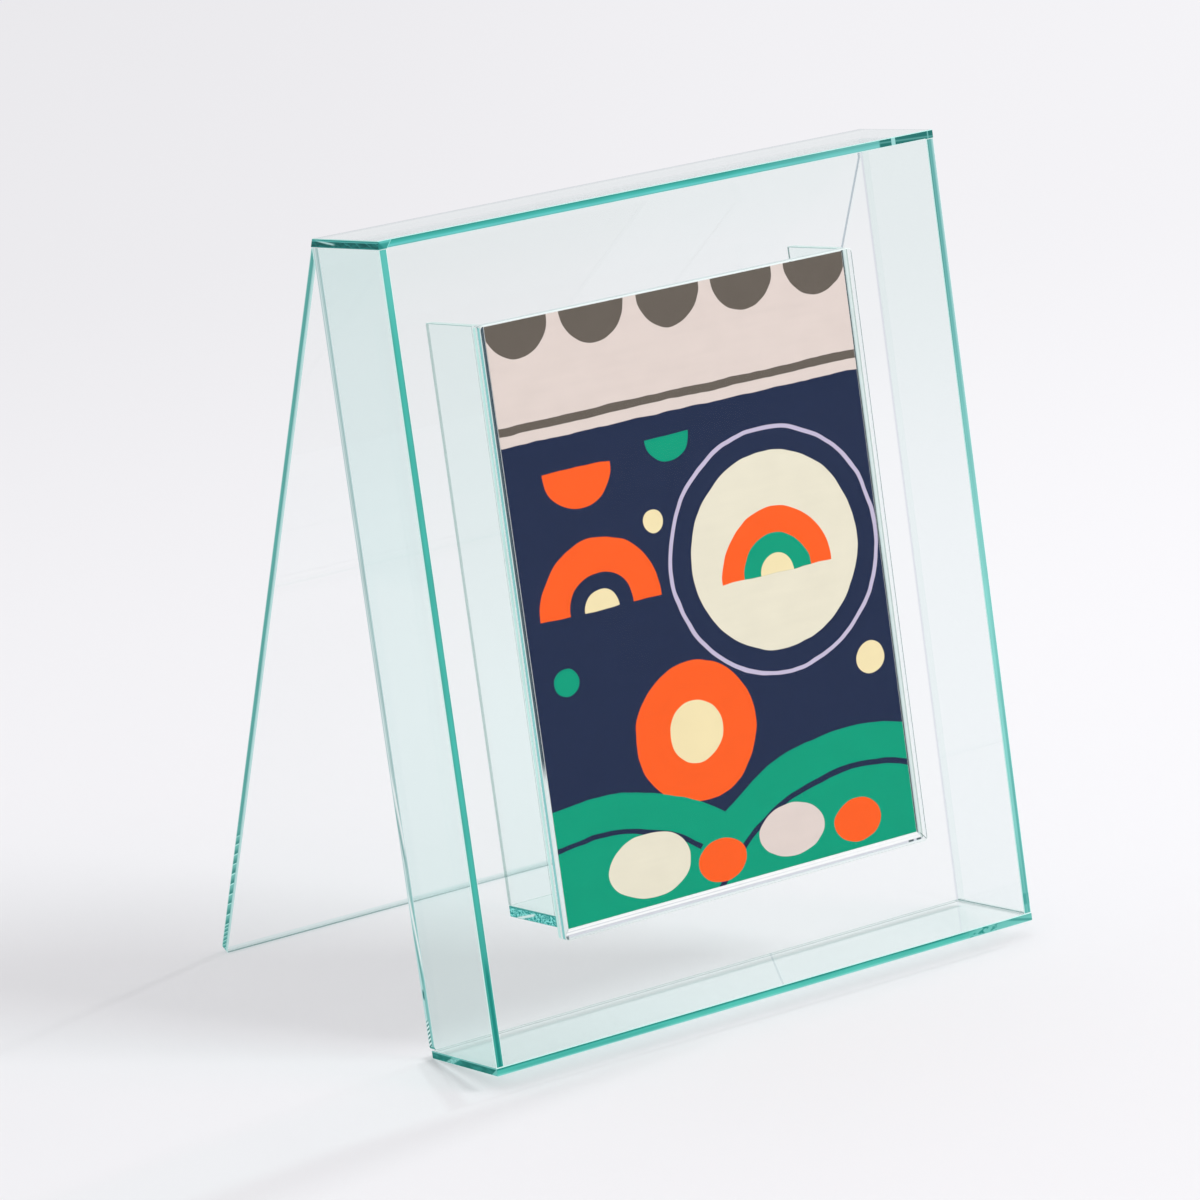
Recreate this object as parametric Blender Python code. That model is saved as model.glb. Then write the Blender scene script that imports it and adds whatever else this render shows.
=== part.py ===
"""Acrylic box frame: an open-front shadow box on a full-width back leg, with a
picture holder floating inside it. Metres, +Z up, front towards -Y, origin on
the surface it stands on, under the middle of its outer size."""

import math

import bmesh
import bpy
from mathutils import Vector

# Outer box
BOX_WIDTH = 0.228
BOX_HEIGHT = 0.288
BOX_DEPTH = 0.045            # front edges to the rear face of the back panel
WALL_THICKNESS = 0.003       # left and right walls
PLATE_THICKNESS = 0.003      # top and bottom plates
BACK_THICKNESS = 0.004
BOTTOM_SHORTFALL = 0.0015    # bottom plate ends this far before the rear face
PANEL_CORNER_RADIUS = 0.0012

# Back leg
STAND_THICKNESS = 0.004
WEDGE_LAND = 0.0008          # flat left at the top of the leg's wedge
LEAN = math.radians(7.5)     # box from upright
SPLAY = math.radians(28.8)   # leg from the back panel

# Print and the pocket that holds it
PRINT_WIDTH = 0.148
PRINT_HEIGHT = 0.210
PRINT_THICKNESS = 0.0003
POCKET_DEPTH = 0.0008        # gap between the two holder sheets
SIDE_MARGIN = 0.003          # holder sheets beyond the print, each side
BOTTOM_MARGIN = 0.0035       # holder sheets below the print
TOP_MARGIN = 0.0008          # holder sheets above the print
COVER_THICKNESS = 0.002
CARRIER_THICKNESS = 0.002
HOLDER_CORNER_RADIUS = 0.0015
STRIP_INSET = 0.0005         # pocket strips back from the sheets' edges

# Where the holder floats in the box
HOLDER_SETBACK = 0.005       # front edges of the box to the cover sheet
HOLDER_LIFT = 0.035          # bottom plate to the sheets' lower edges
FIN_THICKNESS = 0.003
LEDGE_THICKNESS = 0.004
LEDGE_RISE = 0.0044          # sheets' lower edges to the ledge's underside

# Clearances and polished arrises
GLUE_LINE = 0.0002
PRINT_PLAY = 0.0003          # print to the pocket strips
ARRIS = 0.00025
CORNER_STEPS = 5

# Derived places in the box's own frame: x right, y back from the front, z up
INNER_TOP = BOX_HEIGHT - PLATE_THICKNESS
BACK_FRONT = BOX_DEPTH - BACK_THICKNESS
WALL_TOP = INNER_TOP - GLUE_LINE
WALL_FOOT = PLATE_THICKNESS + GLUE_LINE
HOLDER_WIDTH = PRINT_WIDTH + 2 * SIDE_MARGIN
HOLDER_HEIGHT = BOTTOM_MARGIN + PRINT_HEIGHT + TOP_MARGIN
HOLDER_FOOT = PLATE_THICKNESS + HOLDER_LIFT
HOLDER_TOP = HOLDER_FOOT + HOLDER_HEIGHT
POCKET_FRONT = HOLDER_SETBACK + COVER_THICKNESS
CARRIER_FRONT = POCKET_FRONT + POCKET_DEPTH
CARRIER_REAR = CARRIER_FRONT + CARRIER_THICKNESS
STANDOFF_DEPTH = BACK_FRONT - CARRIER_REAR - 2 * GLUE_LINE
LEDGE_FOOT = HOLDER_FOOT + LEDGE_RISE
FIN_FOOT = LEDGE_FOOT + LEDGE_THICKNESS + GLUE_LINE
PRINT_FOOT = HOLDER_FOOT + BOTTOM_MARGIN

# Back leg's profile, from where its front face leaves the back panel
LEG_PLANE = BOX_DEPTH + GLUE_LINE
LEG_REAR_TOP = LEG_PLANE + WEDGE_LAND
WEDGE_DROP = (STAND_THICKNESS / math.cos(SPLAY) - WEDGE_LAND) / math.tan(SPLAY)
WEDGE_FOOT = WALL_TOP - WEDGE_DROP
LEG_TILT = SPLAY - LEAN
LEG_LENGTH = (
    WEDGE_FOOT * math.cos(LEAN)
    + ARRIS * math.sin(LEG_TILT)
    - (GLUE_LINE + BOTTOM_SHORTFALL + ARRIS) * math.sin(LEAN)
) / math.cos(LEG_TILT)
LEG_DOWN = Vector((math.sin(SPLAY), -math.cos(SPLAY)))
LEG_BACK = Vector((math.cos(SPLAY), math.sin(SPLAY)))
FOOT_FRONT = Vector((LEG_PLANE, WEDGE_FOOT)) + LEG_LENGTH * LEG_DOWN
FOOT_REAR = FOOT_FRONT + STAND_THICKNESS * LEG_BACK

CLEAR = (0.86, 0.95, 0.93)
HOLDER_CLEAR = (0.93, 0.97, 0.96)
PAPER = (0.90, 0.87, 0.80)


def finish(name, colour, transmission, roughness):
    """A Principled material of the piece's own."""
    material = bpy.data.materials.new(name + "_finish")
    material.use_nodes = True
    shader = material.node_tree.nodes["Principled BSDF"]
    shader.inputs["Base Color"].default_value = (*colour, 1.0)
    shader.inputs["Metallic"].default_value = 0.0
    shader.inputs["Roughness"].default_value = roughness
    shader.inputs["Transmission Weight"].default_value = transmission
    shader.inputs["IOR"].default_value = 1.49
    return material


def acrylic(name, colour=CLEAR):
    return finish(name, colour, 1.0, 0.03)


def prism(outline, to_space, sweep):
    """A closed solid: a flat outline, placed in space and swept along one direction."""
    solid = bmesh.new()
    base = solid.faces.new([solid.verts.new(to_space(point)) for point in outline])
    swept = bmesh.ops.extrude_face_region(solid, geom=[base])["geom"]
    moved = [item for item in swept if isinstance(item, bmesh.types.BMVert)]
    bmesh.ops.translate(solid, verts=moved, vec=sweep)
    bmesh.ops.recalc_face_normals(solid, faces=solid.faces)
    return solid


def rectangle(width, height):
    return [(0, 0), (width, 0), (width, height), (0, height)]


def rounded_sheet(width, height, lower, upper=0.0):
    """A sheet's outline about its lower middle, with round lower and upper corners."""
    half = width / 2
    corners = [
        (half - lower, lower, lower, -90),
        (half - upper, height - upper, upper, 0),
        (-half + upper, height - upper, upper, 90),
        (-half + lower, lower, lower, 180),
    ]
    outline = []
    for x, z, radius, start in corners:
        steps = CORNER_STEPS if radius else 0
        for step in range(steps + 1):
            angle = math.radians(start + 90 * step / max(steps, 1))
            outline.append((x + radius * math.cos(angle), z + radius * math.sin(angle)))
    return outline


def facing(outline, thickness):
    """A sheet that faces the front: outline in x and z, swept to the back."""
    return prism(outline, lambda p: (p[0], 0, p[1]), (0, thickness, 0))


def lengthwise(outline, width):
    """A sheet seen in profile: outline in y and z, swept to the right."""
    return prism(outline, lambda p: (0, p[0], p[1]), (width, 0, 0))


def break_arrises(solid, exposed):
    """Polish a small flat on the sharp edges that stay exposed."""
    edges = []
    for edge in solid.edges:
        sharp = edge.calc_face_angle(0) > math.radians(35)
        middle = (edge.verts[0].co + edge.verts[1].co) / 2
        if sharp and exposed(middle, edge):
            edges.append(edge)
    bmesh.ops.bevel(
        solid, geom=edges, offset=ARRIS, segments=1, profile=0.5, affect="EDGES"
    )


def near(value, target):
    return abs(value - target) < 1e-6


def along_x(edge):
    direction = edge.verts[1].co - edge.verts[0].co
    return abs(direction.x) > direction.length * 0.99


def place(name, solid, location, material, frame):
    mesh = bpy.data.meshes.new(name)
    solid.normal_update()
    solid.to_mesh(mesh)
    solid.free()
    mesh.materials.append(material)
    piece = bpy.data.objects.new(name, mesh)
    bpy.context.scene.collection.objects.link(piece)
    piece.parent = frame
    piece.location = location
    return piece


def make_frame():
    """The tilted frame that carries every piece; its origin is the box's lower front."""
    frame = bpy.data.objects.new("box_frame", None)
    bpy.context.scene.collection.objects.link(frame)
    rearmost = FOOT_REAR.x * math.cos(LEAN) + FOOT_REAR.y * math.sin(LEAN)
    contact = BOX_DEPTH - BOTTOM_SHORTFALL - ARRIS
    frame.location = (0, -rearmost / 2, contact * math.sin(LEAN))
    frame.rotation_euler = (-LEAN, 0, 0)
    return frame


def make_box(frame):
    left = -BOX_WIDTH / 2

    # The top plate caps the walls, the back panel and the leg, and its rear edge
    # is cut to the leg's slope.
    rear_upper = LEG_REAR_TOP - PLATE_THICKNESS * math.tan(SPLAY)
    cap = [(0, 0), (LEG_REAR_TOP, 0), (rear_upper, PLATE_THICKNESS), (0, PLATE_THICKNESS)]
    top = lengthwise(cap, BOX_WIDTH)
    break_arrises(
        top, lambda m, e: near(m.z, PLATE_THICKNESS) or (along_x(e) and near(m.z, 0))
    )
    place("top_plate", top, (left, 0, INNER_TOP), acrylic("top_plate"), frame)

    base_depth = BOX_DEPTH - BOTTOM_SHORTFALL
    bottom = lengthwise(rectangle(base_depth, PLATE_THICKNESS), BOX_WIDTH)
    break_arrises(
        bottom, lambda m, e: near(m.z, 0) or (along_x(e) and near(m.z, PLATE_THICKNESS))
    )
    place("bottom_plate", bottom, (left, 0, 0), acrylic("bottom_plate"), frame)

    wall_depth = BACK_FRONT - GLUE_LINE
    wall_left = {"left_wall": left, "right_wall": -left - WALL_THICKNESS}
    for name, x in wall_left.items():
        wall = lengthwise(rectangle(wall_depth, WALL_TOP - WALL_FOOT), WALL_THICKNESS)
        break_arrises(wall, lambda m, e: near(m.y, 0) and not along_x(e))
        place(name, wall, (x, 0, WALL_FOOT), acrylic(name), frame)

    outline = rounded_sheet(BOX_WIDTH, WALL_TOP - WALL_FOOT, PANEL_CORNER_RADIUS)
    back = facing(outline, BACK_THICKNESS)
    break_arrises(back, lambda m, e: near(m.y, BACK_THICKNESS) and not near(m.z, WALL_TOP - WALL_FOOT))
    place("back_panel", back, (0, BACK_FRONT, WALL_FOOT), acrylic("back_panel"), frame)


def make_stand(frame):
    """The back leg: a full-width sheet whose top is a long wedge, seated on the
    back panel under the top plate, and whose foot is cut square."""
    profile = [
        (0, 0),
        (FOOT_FRONT.x - LEG_PLANE, FOOT_FRONT.y - WEDGE_FOOT),
        (FOOT_REAR.x - LEG_PLANE, FOOT_REAR.y - WEDGE_FOOT),
        (WEDGE_LAND, WEDGE_DROP),
        (0, WEDGE_DROP),
    ]
    leg = lengthwise(profile, BOX_WIDTH)
    foot_line = (profile[1][1] + profile[2][1]) / 2
    foot_corners = [
        edge for edge in leg.edges
        if not along_x(edge) and near((edge.verts[0].co.z + edge.verts[1].co.z) / 2, foot_line)
    ]
    bmesh.ops.bevel(
        leg, geom=foot_corners, offset=PANEL_CORNER_RADIUS,
        segments=CORNER_STEPS, profile=0.5, affect="EDGES",
    )
    break_arrises(leg, lambda m, e: m.z < -PANEL_CORNER_RADIUS or not near(m.x, BOX_WIDTH / 2))
    place("stand_panel", leg, (-BOX_WIDTH / 2, LEG_PLANE, WEDGE_FOOT), acrylic("stand_panel"), frame)


def make_standoffs(frame):
    """Two fins and a ledge that carry the holder off the back panel."""
    left = -HOLDER_WIDTH / 2
    depth_start = CARRIER_REAR + GLUE_LINE

    ledge = lengthwise(rectangle(STANDOFF_DEPTH, LEDGE_THICKNESS), HOLDER_WIDTH)
    break_arrises(ledge, lambda m, e: near(m.x, 0) or near(m.x, HOLDER_WIDTH))
    place("holder_ledge", ledge, (left, depth_start, LEDGE_FOOT), acrylic("holder_ledge"), frame)

    fin_left = {"left_fin": left, "right_fin": -left - FIN_THICKNESS}
    for name, x in fin_left.items():
        height = HOLDER_TOP - FIN_FOOT
        fin = lengthwise(rectangle(STANDOFF_DEPTH, height), FIN_THICKNESS)
        break_arrises(fin, lambda m, e: near(m.z, height) and not along_x(e))
        place(name, fin, (x, depth_start, FIN_FOOT), acrylic(name, HOLDER_CLEAR), frame)


def make_holder_sheets(frame):
    outline = rounded_sheet(
        HOLDER_WIDTH, HOLDER_HEIGHT, HOLDER_CORNER_RADIUS, HOLDER_CORNER_RADIUS
    )
    sheets = [
        ("holder_back_sheet", CARRIER_FRONT, CARRIER_THICKNESS),
        ("holder_front_sheet", HOLDER_SETBACK, COVER_THICKNESS),
    ]
    for name, y, thickness in sheets:
        sheet = facing(outline, thickness)
        break_arrises(sheet, lambda m, e: True)
        place(name, sheet, (0, y, HOLDER_FOOT), acrylic(name, HOLDER_CLEAR), frame)


def make_pocket_strips(frame):
    """Thin strips between the holder sheets, mitred at the lower corners, that close
    the pocket at both sides and below and leave its top open."""
    y = POCKET_FRONT + GLUE_LINE
    thickness = POCKET_DEPTH - 2 * GLUE_LINE
    outer_x = HOLDER_WIDTH / 2 - STRIP_INSET
    inner_x = PRINT_WIDTH / 2 + PRINT_PLAY
    outer_z = STRIP_INSET
    inner_z = BOTTOM_MARGIN - PRINT_PLAY
    top_z = HOLDER_HEIGHT - STRIP_INSET
    mitre_gap = GLUE_LINE

    lower = [
        (-outer_x + mitre_gap, outer_z),
        (outer_x - mitre_gap, outer_z),
        (inner_x - mitre_gap, inner_z),
        (-inner_x + mitre_gap, inner_z),
    ]
    place(
        "pocket_strip_bottom", facing(lower, thickness), (0, y, HOLDER_FOOT),
        acrylic("pocket_strip_bottom", HOLDER_CLEAR), frame,
    )

    for name, side in (("pocket_strip_left", -1), ("pocket_strip_right", 1)):
        upright = [
            (side * outer_x, outer_z + mitre_gap),
            (side * inner_x, inner_z + mitre_gap),
            (side * inner_x, top_z),
            (side * outer_x, top_z),
        ]
        place(
            name, facing(upright, thickness), (0, y, HOLDER_FOOT),
            acrylic(name, HOLDER_CLEAR), frame,
        )


def make_print(frame):
    """The print slides up out of the pocket along its own length."""
    card = facing(
        [(x - PRINT_WIDTH / 2, z) for x, z in rectangle(PRINT_WIDTH, PRINT_HEIGHT)],
        PRINT_THICKNESS,
    )
    y = POCKET_FRONT + (POCKET_DEPTH - PRINT_THICKNESS) / 2
    place("print_insert", card, (0, y, PRINT_FOOT), finish("print_insert", PAPER, 0.0, 0.6), frame)


def main():
    for old in list(bpy.data.objects):
        bpy.data.objects.remove(old, do_unlink=True)
    frame = make_frame()
    make_box(frame)
    make_stand(frame)
    make_standoffs(frame)
    make_holder_sheets(frame)
    make_pocket_strips(frame)
    make_print(frame)
    bpy.context.view_layer.update()


main()
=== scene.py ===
"""Looks of a clear acrylic box frame: camera, floor, lamps and procedural materials."""

import math

import bpy
from mathutils import Matrix, Vector

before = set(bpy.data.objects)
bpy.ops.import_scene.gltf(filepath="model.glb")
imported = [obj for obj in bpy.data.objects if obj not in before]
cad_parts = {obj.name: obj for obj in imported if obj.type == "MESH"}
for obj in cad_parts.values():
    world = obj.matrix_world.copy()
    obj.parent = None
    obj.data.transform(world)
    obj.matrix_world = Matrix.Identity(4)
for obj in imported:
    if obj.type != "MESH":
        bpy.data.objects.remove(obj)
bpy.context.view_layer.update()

# The box's own frame: x right, y back, z up, from its lower front left corner.
# Materials measure it in millimetres.
MM = 1000
LEAN = math.radians(7.5)
SPLAY = math.radians(28.8)
BOX_CORNER = Vector((-0.114, -0.0961, 0.005645))
TO_BOX = Matrix.Rotation(LEAN, 3, "X")

WIDTH = 228
HEIGHT = 288
DEPTH = 45
BASE_DEPTH = 43.5
SHEET = 3
BACK_FRONT = 41
LEG_THICKNESS = 4
LEG_TOP = Vector((45.2, 277.95))
LEG_LENGTH = 295.5

HOLDER_LEFT = 37
HOLDER_RIGHT = 191
HOLDER_FOOT = 38
HOLDER_TOP = 252.3
COVER_FRONT = 5
COVER_REAR = 7
CARRIER_FRONT = 7.8
CARRIER_REAR = 9.8
LEDGE_TOP = 46.4
PRINT_LEFT = 40
PRINT_FOOT = 41.5
PRINT_WIDTH = 148

# Directions in the box frame, and those of the 45 degree arrises between them
LEFT = (-1, 0, 0)
RIGHT = (1, 0, 0)
FRONT = (0, -1, 0)
REAR = (0, 1, 0)
UP = (0, 0, 1)
DOWN = (0, 0, -1)
SLANT = 0.707
UNDER_FRONT = (0, -SLANT, -SLANT)
OVER_FRONT = (0, -SLANT, SLANT)
UNDER_LEFT = (-SLANT, 0, -SLANT)
OVER_LEFT = (-SLANT, 0, SLANT)
LEG_REAR = (0, math.cos(SPLAY), math.sin(SPLAY))
LEG_FOOT = (0, math.sin(SPLAY), -math.cos(SPLAY))

# Edge colours of the sheet, from deep to pale: its teal and the internal reflections painted in it
DEEP = "#2E8F86"
DARK = "#3AA197"
MID = "#47B2A7"
BRIGHT = "#59C2B9"
LIGHT = "#78CEC6"
PALE = "#9ADBD5"

# See-through tints that more than one place shares
LEFT_CLEAR = (0.912, 0.97, 0.963, 1)
FIN_CLEAR = (0.94, 0.98, 0.973, 1)
LEG_CLEAR = (0.992, 0.997, 0.996, 1)
HOLDER_CLEAR = (0.994, 0.997, 0.997, 1)
SEAM = (0.36, 0.48, 0.47, 1)

# The share of an edge's colour that it gives off by itself, as a painted glow
EDGE_GLOW = 0.4
ACRYLIC_IOR = 1.49

# How squarely a surface faces a direction to belong to it
SQUARELY = 0.8


def linear(code):
    """An sRGB hex colour as the linear numbers that shaders take."""
    parts = [int(code[i : i + 2], 16) / 255 for i in (1, 3, 5)]
    low = [c / 12.92 if c <= 0.04045 else ((c + 0.055) / 1.055) ** 2.4 for c in parts]
    return (*low, 1.0)


class Tree:
    """A node tree, built from short calls."""

    def __init__(self, tree, output):
        self.tree = tree
        self.tree.nodes.clear()
        self.out = self.tree.nodes.new(output)

    def add(self, kind, *values, **named):
        """A node with its inputs set or linked, in order and then by name."""
        node = self.tree.nodes.new("ShaderNode" + kind)
        for key, value in named.pop("settings", {}).items():
            setattr(node, key, value)
        for key, value in [*enumerate(values), *named.items()]:
            socket = node.inputs[key.replace("_", " ") if isinstance(key, str) else key]
            self.give(socket, value)
        return node

    def give(self, socket, value):
        """A socket linked to a node or socket, or set to a number or colour."""
        if isinstance(value, bpy.types.Node):
            value = value.outputs[0]
        if isinstance(value, bpy.types.NodeSocket):
            self.tree.links.new(value, socket)
            return
        if isinstance(value, str):
            value = linear(value)
        socket.default_value = value[:3] if socket.type == "VECTOR" else value

    def math(self, operation, *values):
        return self.add("Math", *values, settings={"operation": operation}).outputs[0]

    def plus(self, first, second):
        return self.math("ADD", first, second)

    def minus(self, first, second):
        return self.math("SUBTRACT", first, second)

    def times(self, first, second):
        return self.math("MULTIPLY", first, second)

    def either(self, first, second):
        """The larger of two shares."""
        return self.math("MAXIMUM", first, second)

    def flip(self, share):
        """What a share leaves of 1."""
        return self.minus(1.0, share)

    def ramp(self, value, low, high, start=0.0, end=1.0):
        """A smooth step of a number, from start at low to end at high."""
        settings = {"interpolation_type": "SMOOTHSTEP"}
        node = self.add("MapRange", value, low, high, start, end, settings=settings)
        return node.outputs[0]

    def between(self, value, low, high, soft=0.1):
        """1 between two numbers and 0 outside, with soft ends."""
        rise = self.ramp(value, low - soft, low + soft)
        fall = self.ramp(value, high + soft, high - soft)
        return self.times(rise, fall)

    def line(self, value, centre, width, soft=0.12):
        """1 along a line of a given width, with soft borders."""
        return self.between(value, centre - width / 2, centre + width / 2, soft)

    def blend(self, share, first, second):
        """A mix of two colours."""
        node = self.add("Mix", settings={"data_type": "RGBA"})
        self.give(node.inputs[0], share)
        self.give(node.inputs[6], first)
        self.give(node.inputs[7], second)
        return node.outputs[2]

    def shade(self, colour, factor):
        """A colour made lighter or darker by a number."""
        node = self.add("VectorMath", colour, settings={"operation": "SCALE"})
        self.give(node.inputs["Scale"], factor)
        return node.outputs[0]

    def noise(self, x, y=0.0, z=0.0, detail=2.0):
        """Smooth noise about 0, for coordinates already scaled to the grain wanted."""
        where = self.add("CombineXYZ", x, y, z)
        cloud = self.add("TexNoise", Vector=where, Scale=1.0, Detail=detail)
        return self.minus(cloud.outputs[0], 0.5)

    def bands(self, value, low, high, *stops):
        """Colours along a number, as (part of the way, colour) stops."""
        share = self.add("MapRange", value, low, high)
        node = self.add("ValToRGB", share)
        elements = node.color_ramp.elements
        elements[0].position, elements[1].position = stops[0][0], stops[-1][0]
        elements[0].color, elements[1].color = linear(stops[0][1]), linear(stops[-1][1])
        for position, colour in stops[1:-1]:
            elements.new(position).color = linear(colour)
        return node.outputs[0]

    def rays(self, *kinds):
        """1 for light paths of the given kinds."""
        path = self.add("LightPath").outputs
        share = path[f"Is {kinds[0]} Ray"]
        for kind in kinds[1:]:
            share = self.either(share, path[f"Is {kind} Ray"])
        return share

    def seen(self):
        """1 for the rays that show a background."""
        return self.rays("Camera", "Glossy", "Transmission")

    def finish(self, shader):
        self.give(self.out.inputs["Surface"], shader)


class Graph(Tree):
    """A material's nodes, with the place and direction of the surface. x, y and z are
    the place, and ahead is 1 where the surface is met from outside."""

    def __init__(self, name):
        self.material = bpy.data.materials.new(name)
        self.material.use_nodes = True
        super().__init__(self.material.node_tree, "ShaderNodeOutputMaterial")
        self.x, self.y, self.z = self.place()
        self.normal = self.facing()
        self.ahead = self.flip(self.add("NewGeometry").outputs["Backfacing"])

    def place(self):
        """Box-frame coordinates in millimetres, as three numbers."""
        turn = self.add(
            "Mapping",
            self.add("TexCoord").outputs["Object"],
            Location=-(TO_BOX @ BOX_CORNER) * MM,
            Rotation=(LEAN, 0, 0),
            Scale=(MM, MM, MM),
        )
        return self.add("SeparateXYZ", turn).outputs

    def facing(self):
        """The surface's direction in the box frame."""
        return self.add(
            "Mapping",
            self.add("NewGeometry").outputs["True Normal"],
            Rotation=(LEAN, 0, 0),
            settings={"vector_type": "VECTOR"},
        ).outputs[0]

    def towards(self, direction):
        """How far the surface faces a direction, from -1 to 1."""
        settings = {"operation": "DOT_PRODUCT"}
        return self.add("VectorMath", self.normal, direction, settings=settings).outputs["Value"]

    def faces(self, direction):
        """1 where the surface faces a direction squarely."""
        return self.math("GREATER_THAN", self.towards(direction), SQUARELY)

    def finish(self, shader):
        super().finish(shader)
        return self.material


def uneven(g, colour, amount, *where):
    """A colour with soft lighter and darker places."""
    return g.shade(colour, g.plus(g.times(g.noise(*where), amount), 1.0))


def polished_edge(g, across, along, thickness, *stops):
    """Bands that run along a polished edge and drift slowly across it: its teal with painted
    internal reflections, made lighter and darker in slow and fine streaks along it. The last
    number of each noise only sets it apart."""
    drift = g.times(g.noise(g.times(along, 0.03), 2.7), 0.5)
    colour = g.bands(g.plus(across, drift), 0, thickness, *stops)
    slow = g.noise(g.times(along, 0.05), g.times(across, 0.4), 7.1)
    fine = g.noise(g.times(along, 0.12), g.times(across, 6), 1.3, detail=1.0)
    light = g.plus(g.times(slow, 0.3), g.times(fine, 0.16))
    return g.shade(colour, g.plus(light, 1.0))


def outlined(g, colour, across, thickness, share, pale):
    """An edge with painted highlights: the pale lines along its two arrises."""
    width = 0.6
    border = g.flip(g.between(across, width, thickness - width))
    return g.blend(g.times(border, share), colour, pale)


def slashes(g, along, across, period, slope, share):
    """Slanted light marks across an edge, uneven in width: painted reflections."""
    phase = g.plus(g.times(along, 1 / period), g.times(across, slope))
    phase = g.plus(phase, g.times(g.noise(g.times(along, 0.35), 4.4), 0.9))
    return g.ramp(g.math("PINGPONG", phase, 0.5), 0.5 - share / 2, 0.5 - share / 4)


def top_front(g):
    across = g.minus(HEIGHT, g.z)
    colour = polished_edge(
        g, across, g.x, SHEET,
        (0.0, "#358B82"), (0.13, "#378F86"), (0.22, DARK), (0.45, MID), (0.55, "#4CB6AF"),
        (0.64, "#62C5C1"), (0.84, "#66C2BD"), (0.9, "#68A8A2"), (1.0, "#68A8A2"),
    )
    # Painted reflections: paler towards the right, with a grey line in it
    paler = g.ramp(g.x, 140, 203)
    colour = g.blend(g.times(paler, 0.45), colour, "#86C8C4")
    wedge = g.times(g.between(g.x, 158, 206), g.line(across, 1.0, 0.35))
    colour = g.blend(g.times(wedge, 0.6), colour, "#5AA5A4")
    # Painted reflections: the right end is dark, with a slanted streak and two pale marks
    end = g.ramp(g.x, 204.6, 205.4)
    streak = g.line(g.plus(across, g.times(g.x, -0.05)), -9.1, 0.5, 0.25)
    dark = g.blend(g.times(streak, 0.7), "#28716C", "#62A9A3")
    colour = g.blend(end, colour, dark)
    colour = g.blend(g.line(g.x, 210.9, 1.7), colour, "#9CD3D0")
    colour = g.blend(g.line(g.x, 225.8, 0.5), colour, "#6FB3AE")
    # The left corner is painted to look mitred, with the end as it shows through it
    mitre = g.plus(g.x, g.times(across, 0.75))
    end = g.blend(g.ramp(across, 1.4, 0.6), "#3A9A92", "#5DBDB5")
    end = g.blend(g.ramp(g.plus(g.x, g.times(across, -0.8)), 0.4, -0.6), end, "#2A827C")
    colour = g.blend(g.ramp(mitre, 5.6, 5.1), colour, end)
    return g.blend(g.line(mitre, 5.4, 0.35), colour, "#86D5CD")


def top_end(g):
    """Dark, with a painted curved highlight, and light slashes painted where the joints show
    through.
    """
    across = g.minus(HEIGHT, g.z)
    along = g.minus(DEPTH, g.y)
    mottle = g.noise(g.times(along, 0.3), g.times(across, 0.9), 5.0)
    colour = g.blend(g.ramp(mottle, -0.1, 0.15), "#035956", "#137570")
    curve = g.plus(across, g.times(g.math("POWER", along, 0.5), -0.62))
    light = g.times(g.line(curve, -0.6, 0.55, 0.3), g.between(along, 1.5, 15, 1.5))
    colour = g.blend(light, colour, "#BFEAE8")
    marks = g.times(slashes(g, along, across, 7.5, -0.4, 0.22), g.ramp(along, 14, 22))
    colour = g.blend(g.times(marks, 0.5), colour, "#3FA3A0")
    colour = g.blend(g.ramp(across, 0.75, 0.5), colour, "#2E9C94")
    colour = g.blend(g.line(across, 0.8, 0.25), colour, "#5FC4BF")
    return g.blend(g.line(across, 2.8, 0.25), colour, "#2F8E8B")


def bottom_end(g):
    """Teal, with one broken light patch painted as a reflection, and a paler front corner."""
    along = g.minus(BASE_DEPTH, g.y)
    across = g.minus(SHEET, g.z)
    mottle = g.noise(g.times(along, 0.15), g.times(across, 0.5), 8.0)
    colour = g.blend(g.ramp(mottle, -0.12, 0.15), "#12786F", "#2C938A")
    patch = g.line(g.plus(along, g.times(across, 2.2)), 17.5, 5.0, 0.8)
    broken = g.noise(g.times(along, 0.8), g.times(across, 1.6), 2.0)
    patch = g.times(patch, g.ramp(broken, -0.15, 0.1, 0.35, 1.0))
    colour = g.blend(patch, colour, "#8FDAD3")
    corner = g.ramp(g.plus(along, g.times(across, 1.6)), 43.6, 44.4)
    colour = g.blend(corner, colour, "#6CC7BF")
    return g.blend(g.line(across, 0.25, 0.45, 0.3), colour, "#86D6CF")


def top_rear(g):
    across = g.minus(HEIGHT, g.z)
    return polished_edge(g, across, g.x, SHEET, (0.0, DARK), (0.5, MID), (0.8, BRIGHT), (1.0, MID))


def bottom_front(g):
    across = g.minus(SHEET, g.z)
    colour = polished_edge(
        g, across, g.x, SHEET,
        (0.0, "#62B8AD"), (0.08, "#1F8076"), (0.24, "#2F978B"), (0.34, "#4DBBAD"),
        (0.7, "#55C2B2"), (0.82, LIGHT), (1.0, "#8CCFC6"),
    )
    # Painted reflections: the right end is paler, with dark blots and a slanted line
    end = g.ramp(g.x, 196, 206)
    colour = g.blend(g.times(end, 0.75), colour, "#76C3BB")
    cloud = g.noise(g.times(g.x, 0.4), g.times(across, 0.8), 3.0)
    blot = g.times(g.ramp(cloud, 0.0, 0.12), g.between(g.x, 200, 213, 1.5))
    colour = g.blend(blot, colour, DEEP)
    slanted = g.plus(across, g.times(g.x, -0.22))
    corner = g.times(g.line(slanted, -47.6, 0.9, 0.3), g.ramp(g.x, 216, 219))
    colour = g.blend(g.times(corner, 0.8), colour, "#3E948D")
    # The left end has a dark line, a painted reflection
    near = g.times(g.between(g.x, 5, 70, 6), g.line(across, 1.9, 1.2, 0.3))
    return g.blend(g.times(near, 0.5), colour, DARK)


def bottom_rear(g):
    across = g.minus(SHEET, g.z)
    return polished_edge(g, across, g.x, SHEET, (0.0, MID), (0.4, DARK), (0.8, BRIGHT), (1.0, PALE))


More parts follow.
